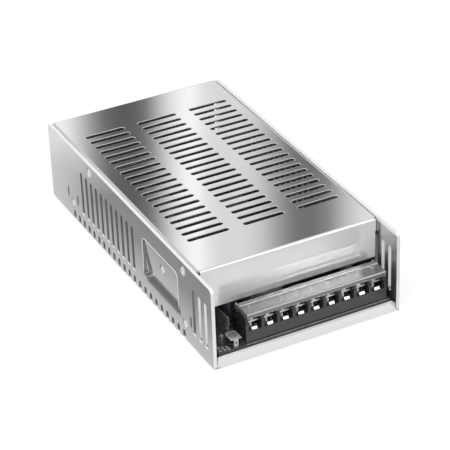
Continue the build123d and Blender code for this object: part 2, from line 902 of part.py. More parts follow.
# Parts on the board
def can(place, radius, height):
    x, y = place
    groove = 0.08 * radius
    waist = board_top + 0.6 * groove + 0.12 * height
    outline = [
        (0, board_top),
        (radius, board_top),
        (radius, waist - 2 * groove),
        (radius - groove, waist - groove),
        (radius - groove, waist + groove),
        (radius, waist + 2 * groove),
        (radius, board_top + height - groove),
        (radius - groove, board_top + height),
        (0, board_top + height),
    ]
    return Pos(x, y, 0) * turned(*outline)


def bulk_capacitors():
    return [can(on_board(share), bulk_radius, room - headroom) for share in bulk_at]


def output_capacitors():
    ys = [on_board((0, v))[1] for v in output_cap_rows]
    return [can((output_cap_x, y), output_cap_radius, output_cap_height) for y in ys]


def small_capacitors():
    return [can(on_board((small_cap_column, v)), small_cap_radius, small_cap_height) for v in small_cap_rows]


def choke_ring(grow, arc):
    low, high = board_top + winding_thickness - grow, board_top + winding_thickness + choke_core_height + grow
    face = Plane.XZ * rect((choke_inner_radius - grow, choke_outer_radius + grow), (low, high))
    return revolve(face, Axis.Z, arc)


def choke_core():
    x, y = choke_x, on_board((0, choke_row))[1]
    return Pos(x, y, 0) * choke_ring(0.0, 360)


def choke_winding():
    x, y = choke_x, on_board((0, choke_row))[1]
    return Pos(x, y, 0) * (choke_ring(winding_thickness, winding_arc) - choke_ring(0.0, 360))


def transformer_core():
    x, y = on_board(transformer_at)
    low, high = board_top + bobbin_lift, lid_under - transformer_headroom
    half = core_width / 2
    outline = rect((-half, half), (low, high))
    for side in (-1, 1):
        inner, outer = side * core_centre_leg / 2, side * (half - core_leg / 2)
        window = rect((min(inner, outer), max(inner, outer)), (low + core_yoke, high - core_yoke))
        outline -= window
    return Pos(x, y, 0) * prism_y(outline, -core_depth / 2, core_depth / 2)


def transformer_bobbin():
    x, y = on_board(transformer_at)
    low = board_top + bobbin_lift + core_yoke
    high = lid_under - transformer_headroom - core_yoke
    half_x = core_width / 2 - core_leg / 2 - coil_clearance
    half_y = bobbin_depth / 2
    body = block((-half_x, half_x), (-half_y, half_y), (low, low + bobbin_flange))
    body += block((-half_x, half_x), (-half_y, half_y), (high - bobbin_flange, high))
    wall_x = core_centre_leg / 2 + bobbin_flange
    wall_y = core_depth / 2 + bobbin_flange
    body += block((-wall_x, wall_x), (-wall_y, wall_y), (low, high))
    body -= block((-core_centre_leg / 2, core_centre_leg / 2), (-core_depth / 2, core_depth / 2), (low - 1, high + 1))
    foot = core_depth / 2 + bobbin_flange
    for side in (-1, 1):
        ends = (side * foot, side * half_y)
        body += block((-half_x, half_x), (min(ends), max(ends)), (board_top, low + bobbin_flange))
    return Pos(x, y, 0) * body


def transformer_winding():
    x, y = on_board(transformer_at)
    low = board_top + bobbin_lift + core_yoke + bobbin_flange
    high = lid_under - transformer_headroom - core_yoke - bobbin_flange
    half_x = core_width / 2 - core_leg / 2 - 2 * coil_clearance
    half_y = bobbin_depth / 2 - 2 * coil_clearance
    outer = RectangleRounded(2 * half_x, 2 * half_y, core_leg / 2)
    inner = Rectangle(core_centre_leg + 2 * bobbin_flange, core_depth + 2 * bobbin_flange)
    return Pos(x, y, low) * extrude(outer - inner, amount=high - low)


def driver_core():
    x, y = on_board(driver_at)
    width, depth, height = driver_size
    coil_x, coil_z = driver_bobbin[0], driver_bobbin[2]
    low = board_top + (height - coil_z) / 2
    body = block((-width / 2, width / 2), (-depth / 2, depth / 2), (board_top, board_top + height))
    window = (coil_x / 2 - 4.0, coil_x / 2)
    body -= both_sides(block(window, (-depth, depth), (low, low + coil_z)))
    return Pos(x, y, 0) * body


def driver_coil():
    x, y = on_board(driver_at)
    coil_x, coil_y, coil_z = driver_bobbin
    depth = driver_size[1]
    low = board_top + (driver_size[2] - coil_z) / 2
    outer = Rectangle(coil_x, coil_y)
    inner = Rectangle(coil_x - 8.0, depth)
    return Pos(x, y, low) * extrude(outer - inner, amount=coil_z)


def line_choke_core():
    x, y = line_choke_x, on_board((0, line_choke_row))[1]
    width, depth, height = line_core_size
    low, high = board_top, board_top + height
    outline = rect((-width / 2, width / 2), (low, high))
    leg = line_core_leg
    outline -= rect((leg - width / 2, width / 2 - leg), (low + leg, high - leg))
    return Pos(x, y, 0) * prism_y(outline, -depth / 2, depth / 2)


def line_choke_coils():
    x, y = line_choke_x, on_board((0, line_choke_row))[1]
    width, depth, height = line_core_size
    leg = line_core_leg
    middle = width / 2 - leg / 2
    low = board_top + (height - line_coil_height) / 2
    outer = RectangleRounded(line_coil_width, line_coil_depth, leg / 2)
    inner = Rectangle(leg + coil_clearance, depth + coil_clearance)
    coil = extrude(outer - inner, amount=line_coil_height)
    return [Pos(x + side * middle, y, low) * coil for side in (-1, 1)]


def box_capacitor():
    x, y = on_board(box_cap_at)
    width, depth, height = box_cap_size
    body = block((x - width / 2, x + width / 2), (y - depth / 2, y + depth / 2), (board_top, board_top + height))
    return chamfer(body.faces().sort_by(Axis.Z)[-1].edges(), box_cap_edge)


def fuse():
    x, y = on_board(fuse_at)
    z = board_top + fuse_lift + fuse_radius
    return rod_x(fuse_radius, x - fuse_length / 2, x + fuse_length / 2, y, z)


def fuse_clip(side):
    x, y = on_board(fuse_at)
    z = board_top + fuse_lift + fuse_radius
    half = fuse_radius + fuse_clip_thickness
    outer_end = x + side * fuse_length / 2
    inner_end = x + side * (fuse_length / 2 - fuse_cap_length)
    outline = rect((y - half, y + half), (board_top, z + fuse_radius * 0.6))
    outline -= Pos(y, z) * Circle(fuse_radius)
    outline -= rect((y - fuse_radius * 0.9, y + fuse_radius * 0.9), (z, z + 2 * fuse_radius))
    return prism_x(outline, min(outer_end, inner_end), max(outer_end, inner_end))


def disc_part(place, radius, thickness):
    x, y = place
    z = board_top + disc_lift + radius
    body = rod_x(radius, x - thickness / 2, x + thickness / 2, y, z)
    body = fillet(body.edges().filter_by(GeomType.CIRCLE), thickness / 3)
    for side in (-1, 1):
        body += rod(disc_lead_radius, board_top, z, x, y + side * radius / 2)
    return body


def y_capacitors():
    x, y = on_board(y_cap_at)
    return [disc_part((cap_x, y), y_cap_radius, y_cap_thickness) for cap_x in row(2, y_cap_pitch, x)]


def bridge_rectifier():
    x, y = on_board(bridge_at)
    width, length, height = bridge_size
    low = board_top + disc_lift
    body = block((x - width / 2, x + width / 2), (y - length / 2, y + length / 2), (low, low + height))
    for lead_y in row(4, length / 4, y):
        body += rod(disc_lead_radius, board_top, low + 1, x, lead_y)
    return body


def drum_inductor():
    x, y = on_board(drum_at)
    top = board_top + drum_height
    outline = [
        (0, board_top),
        (drum_radius, board_top),
        (drum_radius, board_top + drum_flange),
        (drum_waist, board_top + drum_flange),
        (drum_waist, top - drum_flange),
        (drum_radius, top - drum_flange),
        (drum_radius, top),
        (0, top),
    ]
    return Pos(x, y, 0) * turned(*outline)


def chip(share, size, pins):
    x, y = on_board(share)
    width, length, height = size
    low = board_top + ic_lift
    body = block((x - width / 2, x + width / 2), (y - length / 2, y + length / 2), (low, low + height))
    for pin_y in row(pins, 2.54, y):
        pin = block((width / 2 - 0.5, width / 2 + 0.8), (pin_y - 0.3, pin_y + 0.3), (board_top, low + height / 2))
        body += Pos(x, 0, 0) * pin + Pos(x, 0, 0) * mirrored(pin)
    return body


def film_capacitors():
    caps = []
    width, depth, height = film_cap_size
    for share in film_cap_rows:
        x, y = on_board((film_cap_column, share))
        caps.append(block((x - width / 2, x + width / 2), (y - depth / 2, y + depth / 2), (board_top, board_top + height)))
    return caps


def resistor(share):
    x, y = on_board(share)
    z = board_top + resistor_radius + resistor_lead_radius
    half = resistor_lead_span / 2
    body = rod_x(resistor_radius, x - resistor_length / 2, x + resistor_length / 2, y, z)
    body += rod_x(resistor_lead_radius, x - half, x + half, y, z)
    for side in (-1, 1):
        body += rod(resistor_lead_radius, board_top, z, x + side * half, y)
    return body


def power_resistor():
    x, y = on_board(power_resistor_at)
    width, depth, height = power_resistor_size
    body = block((x - width / 2, x + width / 2), (y - depth / 2, y + depth / 2), (board_top, board_top + height))
    return chamfer(body.faces().sort_by(Axis.Z)[-1].edges(), box_cap_edge)


# Every sub-part, one file each
def main():
    os.makedirs("parts", exist_ok=True)
    save("case", case())
    save("lid", lid())
    save("lid_screws", lid_screws())
    save("side_screws", side_screws())
    save("clamp_screws", clamp_screws())
    save("insulating_film", film())
    save("board_standoffs", standoffs())
    save("board_screws", board_screws())
    save("circuit_board", board())
    save("terminal_block", terminal_block())
    save("terminal_plates", [terminal_plate(x).solid() for x in terminal_x])
    save("terminal_washers", [terminal_washer(x).solid() for x in terminal_x])
    save("terminal_screws", [terminal_screw(x, i * terminal_screw_turn).solid() for i, x in enumerate(terminal_x)])
    save("terminal_cover", terminal_cover())
    save("trimmer_frame", trimmer_frame())
    save("trimmer_base", trimmer_base())
    save("trimmer_rotor", trimmer_rotor())
    save("indicator_lamp", indicator())
    save("barrier_sheet", barrier_sheet_part())
    save("rectifier_spreader", mirrored(spreader()))
    save("transistor_spreader", spreader())
    save("thermal_pads", pads())
    save("output_rectifiers", [mirrored(device(y)) for y in device_places()])
    save("switching_transistors", [device(y) for y in device_places()])
    save("clamp_strips", both_sides(clamp_strip()))
    save("clamp_nuts", both_sides(clamp_nut()))
    save("bulk_capacitors", bulk_capacitors())
    save("output_capacitors", output_capacitors())
    save("small_capacitors", small_capacitors())
    save("output_choke_core", choke_core())
    save("output_choke_winding", choke_winding())
    save("transformer_core", transformer_core())
    save("transformer_bobbin", transformer_bobbin())
    save("transformer_winding", transformer_winding())
    save("driver_transformer_core", driver_core())
    save("driver_transformer_coil", driver_coil())
    save("line_choke_core", line_choke_core())
    save("line_choke_coils", line_choke_coils())
    save("box_capacitor", box_capacitor())
    save("fuse", fuse())
    save("fuse_clips", [fuse_clip(side) for side in (-1, 1)])
    save("varistor", disc_part(on_board(varistor_at), varistor_radius, varistor_thickness))
    thermistor_place = (on_board((thermistor_column, 0))[0], thermistor_y)
    save("thermistor", disc_part(thermistor_place, thermistor_radius, thermistor_thickness))
    save("y_capacitors", y_capacitors())
    save("bridge_rectifier", bridge_rectifier())
    save("drum_inductor", drum_inductor())
    save("control_chip", chip(ic_at, ic_size, 7))
    save("optocoupler", chip(opto_at, opto_size, 2))
    save("film_capacitors", film_capacitors())
    save("resistors", [resistor((resistor_column, v)) for v in resistor_rows])
    save("power_resistor", power_resistor())


main()
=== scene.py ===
import math

import bmesh
import bpy
from mathutils import Matrix, Vector


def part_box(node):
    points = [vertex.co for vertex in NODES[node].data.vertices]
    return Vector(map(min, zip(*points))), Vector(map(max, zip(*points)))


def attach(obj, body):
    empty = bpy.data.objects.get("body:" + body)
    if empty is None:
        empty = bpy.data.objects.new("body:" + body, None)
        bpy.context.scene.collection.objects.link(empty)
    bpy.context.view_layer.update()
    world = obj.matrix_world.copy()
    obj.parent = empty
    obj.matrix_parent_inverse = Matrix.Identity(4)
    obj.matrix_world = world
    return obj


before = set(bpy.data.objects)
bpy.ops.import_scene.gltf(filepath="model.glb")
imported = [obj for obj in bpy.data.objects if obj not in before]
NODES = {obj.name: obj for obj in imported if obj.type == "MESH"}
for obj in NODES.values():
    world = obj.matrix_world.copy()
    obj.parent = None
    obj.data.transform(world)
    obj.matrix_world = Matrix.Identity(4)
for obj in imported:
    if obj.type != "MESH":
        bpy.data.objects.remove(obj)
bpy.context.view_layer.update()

MM = 0.001
HALF_TURN = Matrix.Rotation(math.radians(180), 4, "Z")

# The noise texture's own spread, as read for roughness and for tones
NOISE_LOW, NOISE_HIGH = 0.3, 0.7
TONE_LOW, TONE_HIGH = 0.35, 0.65
BROAD_SHARE = 0.6
BUMP_DEPTH = 0.02 * MM
WAVE_PERIOD = 0.314


# Shader helpers
def lin(tone):
    return tone / 12.92 if tone <= 0.04045 else ((tone + 0.055) / 1.055) ** 2.4


def grey(level):
    return (level, level, level, 1.0)


def node(tree, kind, **values):
    made = tree.nodes.new(kind)
    for key, value in values.items():
        setattr(made, key, value)
    return made


# Sets inputs, by name or number, to values, or links sockets to them
def fill(tree, made, inputs):
    for key, value in inputs.items():
        if isinstance(value, bpy.types.NodeSocket):
            tree.links.new(value, made.inputs[key])
        else:
            made.inputs[key].default_value = value
    return made


def math_node(tree, operation, *values):
    made = node(tree, "ShaderNodeMath", operation=operation)
    return fill(tree, made, dict(enumerate(values))).outputs[0]


def absolute(tree, value):
    return math_node(tree, "ABSOLUTE", value)


def above(tree, value, limit):
    return math_node(tree, "GREATER_THAN", value, limit)


def below(tree, value, limit):
    return math_node(tree, "LESS_THAN", value, limit)


def all_of(tree, first, *others):
    for other in others:
        first = math_node(tree, "MULTIPLY", first, other)
    return first


def any_of(tree, first, *others):
    for other in others:
        first = math_node(tree, "MAXIMUM", first, other)
    return first


def within(tree, value, low, high):
    return all_of(tree, above(tree, value, low), below(tree, value, high))


# Low where the factor is 0, high where it is 1
def scaled(tree, factor, low, high):
    return math_node(tree, "MULTIPLY_ADD", factor, high - low, low)


def map_range(tree, value, low, high, to_low=0.0, to_high=1.0, kind="LINEAR"):
    made = node(tree, "ShaderNodeMapRange", interpolation_type=kind)
    return fill(tree, made, {
        "Value": value, "From Min": low, "From Max": high, "To Min": to_low, "To Max": to_high,
    }).outputs["Result"]


def ease(tree, value, low, high):
    return map_range(tree, value, low, high, kind="SMOOTHSTEP")


def spread(tree, fac, low, high):
    return map_range(tree, fac, NOISE_LOW, NOISE_HIGH, low, high)


def blend(tree, kind, factor, a, b):
    made = node(tree, "ShaderNodeMix", data_type=kind)
    return fill(tree, made, {"Factor": factor, "A": a, "B": b}).outputs["Result"]


def shader_mix(tree, factor, a, b):
    return fill(tree, node(tree, "ShaderNodeMixShader"), {0: factor, 1: a, 2: b}).outputs[0]


def ramp(tree, fac, stops):
    made = fill(tree, node(tree, "ShaderNodeValToRGB"), {"Fac": fac})
    elements = made.color_ramp.elements
    while len(elements) < len(stops):
        elements.new(0.5)
    for element, (place, colour) in zip(elements, stops):
        element.position = place
        element.color = colour if isinstance(colour, tuple) else grey(colour)
    return made.outputs["Color"]


def noise(tree, scale, stretch=(1, 1, 1)):
    coords = node(tree, "ShaderNodeTexCoord").outputs["Object"]
    mapping = fill(tree, node(tree, "ShaderNodeMapping"), {
        "Vector": coords, "Scale": [scale * s for s in stretch]})
    made = fill(tree, node(tree, "ShaderNodeTexNoise"), {
        "Vector": mapping.outputs["Vector"], "Scale": 1.0, "Detail": 3.0, "Roughness": 0.5})
    return made.outputs["Fac"]


def split_xyz(tree, vector):
    return fill(tree, node(tree, "ShaderNodeSeparateXYZ"), {0: vector}).outputs


# A point's place and its face's direction at rest
def place_and_facing(tree):
    coords = node(tree, "ShaderNodeTexCoord").outputs
    return split_xyz(tree, coords["Object"]), split_xyz(tree, coords["Normal"])


def source_of(shader, name):
    return shader.inputs[name].links[0].from_socket


def add_bump(tree, height, strength, depth):
    made = fill(tree, node(tree, "ShaderNodeBump"), {
        "Strength": strength, "Distance": depth, "Height": height})
    fill(tree, tree.nodes["Principled BSDF"], {"Normal": made.outputs["Normal"]})


# A colour for mirrored rays, one for the camera and one for all other rays
def by_ray(tree, mirrored, camera_tone, other_tone):
    rays = node(tree, "ShaderNodeLightPath").outputs
    plain = blend(tree, "RGBA", rays["Is Camera Ray"], grey(other_tone), grey(camera_tone))
    return blend(tree, "RGBA", rays["Is Glossy Ray"], plain, mirrored)


def finish_material(name, colour, metallic, roughness, colour_spread=0.06, rough_spread=0.05,
                    grain=900.0, stretch=(1, 1, 1), patches=60.0, bump=0.1, sockets=None):
    material = bpy.data.materials.new(name)
    material.use_nodes = True
    tree = material.node_tree
    broad = math_node(tree, "MULTIPLY", noise(tree, patches), BROAD_SHARE)
    fine = noise(tree, grain, stretch)
    both = math_node(tree, "ADD", broad, math_node(tree, "MULTIPLY", fine, 1 - BROAD_SHARE))
    dark = tuple(c * (1 - colour_spread) for c in colour) + (1.0,)
    light = tuple(min(c * (1 + colour_spread), 1.0) for c in colour) + (1.0,)
    fill(tree, tree.nodes["Principled BSDF"], {
        "Metallic": metallic,
        "Base Color": ramp(tree, both, [(TONE_LOW, dark), (TONE_HIGH, light)]),
        "Roughness": spread(tree, fine, roughness - rough_spread, roughness + rough_spread),
        **(sockets or {})})
    if bump:
        add_bump(tree, fine, bump, BUMP_DEPTH)
    return material


# Turns of wire: bands across the direction, one for each pitch in millimetres
def wound_material(name, colour, pitch, direction):
    material = finish_material(name, colour, 0.6, 0.3, bump=0.0)
    tree = material.node_tree
    coords = node(tree, "ShaderNodeTexCoord").outputs["Object"]
    wave = fill(tree, node(tree, "ShaderNodeTexWave", bands_direction=direction), {
        "Vector": coords, "Scale": WAVE_PERIOD / (pitch * MM)})
    add_bump(tree, wave.outputs["Fac"], 0.9, pitch * MM * 0.4)
    return material


# Flat faces take their own direction, so that long mirrors stay true; bends stay smooth
FLAT_FROM = 0.985


def true_flats(tree, shader):
    normals = node(tree, "ShaderNodeNewGeometry").outputs
    along = split_xyz(tree, normals["True Normal"])
    most = any_of(tree, *(absolute(tree, along[axis]) for axis in "XYZ"))
    flat = above(tree, most, FLAT_FROM)
    fill(tree, shader, {
        "Normal": blend(tree, "VECTOR", flat, normals["Normal"], normals["True Normal"])})


# Sheet with brushed faces and matt sheared edges, found by a face's place and direction at rest;
# the edges' tone is painted light and shade
SHEET_TONE = 0.88
SHEET_ROUGH = 0.05
BRUSHED_ROUGH = 0.12
SATIN_SHARE = 0.75
ROLLED = (0.35, 0.012, 0.35)


def satin_shader(tree, metallic, tone):
    grain = noise(tree, 1800.0, (0.03, 1, 1))
    return fill(tree, node(tree, "ShaderNodeBsdfPrincipled"), {
        "Metallic": metallic,
        "Base Color": ramp(tree, grain, [(TONE_LOW, tone - 0.01), (TONE_HIGH, tone + 0.01)]),
        "Roughness": spread(tree, grain, 0.42, 0.44)}).outputs[0]


# Matt shader for cut faces: its tone is painted light and shade, varied a little by grain
def edge_shader(tree, tone):
    grain = noise(tree, 2600.0, (1, 1, 0.15))
    grain_and_painted_light = math_node(tree, "MULTIPLY", tone, spread(tree, grain, 0.86, 1.08))
    return fill(tree, node(tree, "ShaderNodeBsdfPrincipled"), {
        "Metallic": 0.2,
        "Specular IOR Level": 0.8,
        "Base Color": ramp(tree, grain_and_painted_light, [(0.0, 0.06), (1.0, 0.93)]),
        "Roughness": spread(tree, grain, 0.34, 0.46)}).outputs[0]


def sheet_material(name, brushed, sheared, satin_metal, satin_painted_tone):
    material = finish_material(
        name, (SHEET_TONE,) * 3, 1.0, SHEET_ROUGH, colour_spread=0.01, rough_spread=0.006,
        grain=3000.0, stretch=ROLLED, patches=25.0, bump=0.0)
    tree = material.node_tree
    shader = tree.nodes["Principled BSDF"]
    place, facing = place_and_facing(tree)
    true_flats(tree, shader)
    matted = brushed(tree, place, facing)
    extra = math_node(tree, "MULTIPLY", matted, BRUSHED_ROUGH - SHEET_ROUGH)
    rough = math_node(tree, "ADD", source_of(shader, "Roughness"), extra)
    fill(tree, shader, {"Roughness": rough})
    share = math_node(tree, "MULTIPLY", matted, SATIN_SHARE)
    # The satin tone is painted: darker on the case's inner wall faces as painted shade, lighter on
    # the lid's front panel as painted light
    satin = satin_shader(tree, satin_metal, satin_painted_tone)
    faces = shader_mix(tree, share, shader.outputs[0], satin)
    mask, tone = sheared(tree, place, facing)
    surface = shader_mix(tree, mask, faces, edge_shader(tree, tone))
    fill(tree, tree.nodes["Material Output"], {"Surface": surface})
    return material


# Faces of the walls that look at the middle of the case
def looks_inward(tree, place, facing):
    return below(tree, math_node(tree, "MULTIPLY", place["X"], facing["X"]), 0.0)


def case_brushed(tree, place, facing):
    sideways = above(tree, absolute(tree, facing["X"]), 0.5)
    return all_of(tree, looks_inward(tree, place, facing), sideways)


def lid_brushed(tree, place, facing):
    return below(tree, facing["Y"], -0.5)


# Case edges, in metres: sideways and lengthwise from the middle, and up from the ground
WALL_FROM = 0.05545
LIP_FROM = 0.10545
LIP_WITHIN = 0.0552
FLOOR_TOP = 0.0024
RIM_FROM = 0.0490
SHELF_HEIGHTS = (0.0110, 0.0155)
SHELF_DEPTHS = (0.0515, 0.0576)
SHELF_FADE = (0.0560, 0.0574)
POCKET_BEFORE = -0.0900


def case_edges(tree, place, facing):
    beside = absolute(tree, place["X"])
    before = absolute(tree, place["Y"])
    across = below(tree, absolute(tree, facing["X"]), 0.5)
    along = below(tree, absolute(tree, facing["Y"]), 0.5)
    wall = all_of(tree, above(tree, beside, WALL_FROM), across)
    lip = all_of(tree, above(tree, before, LIP_FROM), along, below(tree, beside, LIP_WITHIN))
    rim = all_of(tree, above(tree, place["Z"], RIM_FROM), looks_inward(tree, place, facing))
    shelf = all_of(tree, within(tree, place["Z"], *SHELF_HEIGHTS), above(tree, facing["Z"], 0.10),
                   within(tree, beside, *SHELF_DEPTHS))
    edges = any_of(tree, wall, lip, rim, shelf)
    # Painted light: cut faces that face up, those in front of the pocket and the wall's top inner
    # rim are painted bright; all other cut faces are painted dark as shade
    upward = ease(tree, facing["Z"], 0.1, 0.5)
    lit = any_of(tree, upward, below(tree, place["Y"], POCKET_BEFORE), rim)
    tone = scaled(tree, lit, 0.24, 1.0)
    # Painted shade on the recess's lower shelf, darker further in from the wall's outer face
    painted_recess_shade = scaled(tree, ease(tree, beside, *SHELF_FADE), 0.10, 0.38)
    mask = all_of(tree, edges, above(tree, place["Z"], FLOOR_TOP))
    return mask, blend(tree, "FLOAT", shelf, tone, painted_recess_shade)


# Lid edges: the sheared sides of the top sheet, behind the front bend, with a painted highlight
# along their top and painted shade below it
LID_TOP_FROM = 0.0499
LID_BEND_BEHIND = -0.0862
LID_EDGE_FADE = (0.05055, 0.05095)


def lid_edges(tree, place, facing):
    upright = below(tree, absolute(tree, facing["Z"]), 0.5)
    top = above(tree, place["Z"], LID_TOP_FROM)
    behind = above(tree, place["Y"], LID_BEND_BEHIND)
    return all_of(tree, upright, top, behind), ease(tree, place["Z"], *LID_EDGE_FADE)


# Clear moulding: flats let the block show; the rounds and the rib are given a painted highlight,
# lighter and more opaque
RIB_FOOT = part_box("terminal_cover")[1].z - 0.45 * MM
COVER_IOR = 1.85


def clear_moulding(name):
    material = finish_material(
        name, (0.30, 0.30, 0.30), 0.0, 0.06, colour_spread=0.02, rough_spread=0.004,
        grain=500.0, bump=0.0, sockets={"Specular IOR Level": 0.0})
    tree = material.node_tree
    shader = tree.nodes["Principled BSDF"]
    gloss = fill(tree, node(tree, "ShaderNodeBsdfAnisotropic"), {"Roughness": 0.09})
    true_flats(tree, shader)
    true_flats(tree, gloss)
    edge_on = fill(tree, node(tree, "ShaderNodeFresnel"), {"IOR": COVER_IOR})
    surface = shader_mix(tree, edge_on.outputs[0], shader.outputs[0], gloss.outputs[0])
    fill(tree, tree.nodes["Material Output"], {"Surface": surface})
    place, facing = place_and_facing(tree)
    rounds = within(tree, absolute(tree, facing["Z"]), 0.08, 0.93)
    light = any_of(tree, rounds, above(tree, place["Z"], RIB_FOOT))
    # Painted highlight: rounds and the rib take a light grey colour and more opacity
    fill(tree, shader, {
        "Base Color": blend(tree, "RGBA", light, source_of(shader, "Base Color"), grey(0.78)),
        "Alpha": scaled(tree, light, 0.46, 0.58)})
    return material


# Sunk screw: bright face, painted shade on the walls of the cross recess
def sunk_screw(name):
    material = finish_material(name, (0.60, 0.60, 0.60), 0.2, 0.34, grain=2500.0, bump=0.0)
    tree = material.node_tree
    shader = tree.nodes["Principled BSDF"]
    facing = split_xyz(tree, node(tree, "ShaderNodeTexCoord").outputs["Normal"])
    outward = above(tree, absolute(tree, facing["X"]), 0.6)
    bright = source_of(shader, "Base Color")
    # Painted shade: faces that do not face outward, in the cross recess, are near black
    fill(tree, shader, {"Base Color": blend(tree, "RGBA", outward, grey(0.03), bright)})
    return material


# Materials
MATERIALS = {
    # Satin tones: 0.70 is painted shade on the case's inner walls, 0.91 is painted light on the
    # lid's front panel
    "case_sheet": sheet_material("case_sheet", case_brushed, case_edges, 1.0, 0.70),
    "lid_sheet": sheet_material("lid_sheet", lid_brushed, lid_edges, 0.5, 0.91),
    "sunk_screw": sunk_screw("sunk_screw"),
    "clear_plastic": clear_moulding("clear_plastic"),
    "copper": wound_material("copper", (0.78, 0.76, 0.74), 1.2, "X"),
    "coil": wound_material("coil", (0.74, 0.72, 0.70), 0.7, "Z"),
}

# Colour, metallic, roughness, and what differs from a plain finish
FINISHES = {
    "bright_screw": ((0.88, 0.88, 0.87), 1.0, 0.34, {"grain": 2500.0, "bump": 0.08}),
    "tinned": ((0.86, 0.86, 0.85), 1.0, 0.24, {"grain": 1800.0, "bump": 0.12}),
    "bright_tin": ((0.93, 0.93, 0.93), 0.3, 0.38, {"grain": 1800.0, "bump": 0.12}),
    "contact_tin": ((0.62, 0.62, 0.62), 1.0, 0.26, {"grain": 1800.0}),
    "dull_tin": ((0.50, 0.50, 0.50), 0.5, 0.36, {"grain": 1500.0, "bump": 0.2}),
    "rotor_tin": ((0.30, 0.30, 0.30), 0.6, 0.32, {"grain": 1500.0}),
    "dark_tin": ((0.34, 0.34, 0.34), 0.8, 0.4, {"colour_spread": 0.4, "bump": 0.3}),
    "rolled_edge": ((0.93, 0.93, 0.93), 1.0, 0.24, {"grain": 1500.0, "bump": 0.0}),
    "black_plastic": ((0.022, 0.022, 0.023), 0.0, 0.24, {
        "colour_spread": 0.2, "grain": 5000.0, "patches": 90.0,
        "sockets": {"Specular IOR Level": 0.75}}),
    "moulded_mark": ((0.78, 0.79, 0.80), 0.0, 0.4, {
        "grain": 3000.0, "bump": 0.2, "sockets": {"Alpha": 0.55}}),
    "board": ((0.056, 0.057, 0.056), 0.0, 0.32, {
        "colour_spread": 0.35, "grain": 1500.0, "patches": 180.0, "bump": 0.15}),
    "film": ((0.05, 0.05, 0.05), 0.0, 0.35, {"grain": 600.0}),
    "brass": ((0.72, 0.72, 0.70), 1.0, 0.3, {"grain": 2000.0}),
    "aluminium": ((0.78, 0.78, 0.79), 1.0, 0.34, {
        "grain": 2600.0, "stretch": (1, 0.03, 1), "bump": 0.2}),
    "pad": ((0.45, 0.46, 0.45), 0.0, 0.6, {"grain": 1200.0, "bump": 0.3}),
    "sleeve": ((0.028, 0.03, 0.036), 0.0, 0.28, {
        "colour_spread": 0.25, "sockets": {"Coat Weight": 0.3}}),
    "ferrite": ((0.11, 0.11, 0.112), 0.0, 0.5, {
        "colour_spread": 0.2, "grain": 2600.0, "bump": 0.4}),
    "tape": ((0.80, 0.80, 0.79), 0.0, 0.35, {
        "colour_spread": 0.1, "grain": 500.0, "stretch": (1, 1, 8)}),
    "bobbin": ((0.05, 0.05, 0.05), 0.0, 0.4, {"grain": 1800.0}),
    "box_plastic": ((0.50, 0.50, 0.49), 0.0, 0.38, {"grain": 2000.0, "bump": 0.2}),
    "ceramic": ((0.24, 0.25, 0.26), 0.0, 0.3, {
        "colour_spread": 0.12, "grain": 700.0, "bump": 0.3}),
    "chip": ((0.03, 0.03, 0.032), 0.0, 0.5, {"colour_spread": 0.2, "grain": 4200.0, "bump": 0.3}),
    "clear_glass": ((0.75, 0.78, 0.78), 0.0, 0.08, {
        "grain": 300.0, "bump": 0.03, "sockets": {"Alpha": 0.6}}),
    "lamp": ((0.09, 0.09, 0.09), 0.0, 0.12, {
        "colour_spread": 0.1, "bump": 0.05, "sockets": {"Coat Weight": 1.0}}),
    "white_ceramic": ((0.72, 0.71, 0.68), 0.0, 0.6, {"grain": 1800.0, "bump": 0.4}),
    "dark_sheet": ((0.075, 0.075, 0.076), 0.0, 0.22, {
        "colour_spread": 0.2, "grain": 500.0, "bump": 0.04,
        "sockets": {"Specular IOR Level": 0.8}}),
}
for finish, (colour, metallic, roughness, options) in FINISHES.items():
    MATERIALS[finish] = finish_material(finish, colour, metallic, roughness, **options)

WEARERS = {
    "case_sheet": "case",
    "lid_sheet": "lid",
    "sunk_screw": "lid_screws side_screws clamp_screws",
    "bright_screw": "board_screws clamp_nuts clamp_strips",
    "tinned": "fuse_clips",
    "contact_tin": "terminal_plates terminal_washers terminal_screws",
    "dull_tin": "trimmer_frame",
    "rotor_tin": "trimmer_rotor",
    "black_plastic": "terminal_block trimmer_base",
    "clear_plastic": "terminal_cover",
    "board": "circuit_board",
    "film": "insulating_film",
    "brass": "board_standoffs",
    "aluminium": "rectifier_spreader transistor_spreader",
    "pad": "thermal_pads",
    "sleeve": "bulk_capacitors output_capacitors small_capacitors",
    "ferrite": ("output_choke_core transformer_core driver_transformer_core line_choke_core"
                " drum_inductor"),
    "copper": "output_choke_winding",
    "coil": "line_choke_coils driver_transformer_coil",
    "tape": "transformer_winding",
    "bobbin": "transformer_bobbin",
    "box_plastic": "box_capacitor film_capacitors",
    "ceramic": "varistor thermistor y_capacitors resistors",
    "chip": ("output_rectifiers switching_transistors bridge_rectifier control_chip"
             " optocoupler"),
    "clear_glass": "fuse",
    "lamp": "indicator_lamp",
    "white_ceramic": "power_resistor",
    "dark_sheet": "barrier_sheet",
}


def dress(target, material):
    target.data.materials.clear()
    target.data.materials.append(MATERIALS[material])


for finish, wearers in WEARERS.items():
    for wearer in wearers.split():
        dress(NODES[wearer], finish)


# Added pieces
def add_piece(name, data, material, body):
    made = bpy.data.objects.new(name, data)
    bpy.context.scene.collection.objects.link(made)
    dress(made, material)
    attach(made, body)


def mesh_from(name, bm):
    data = bpy.data.meshes.new(name)
    bmesh.ops.recalc_face_normals(bm, faces=bm.faces)
    bm.to_mesh(data)
    bm.free()
    return data


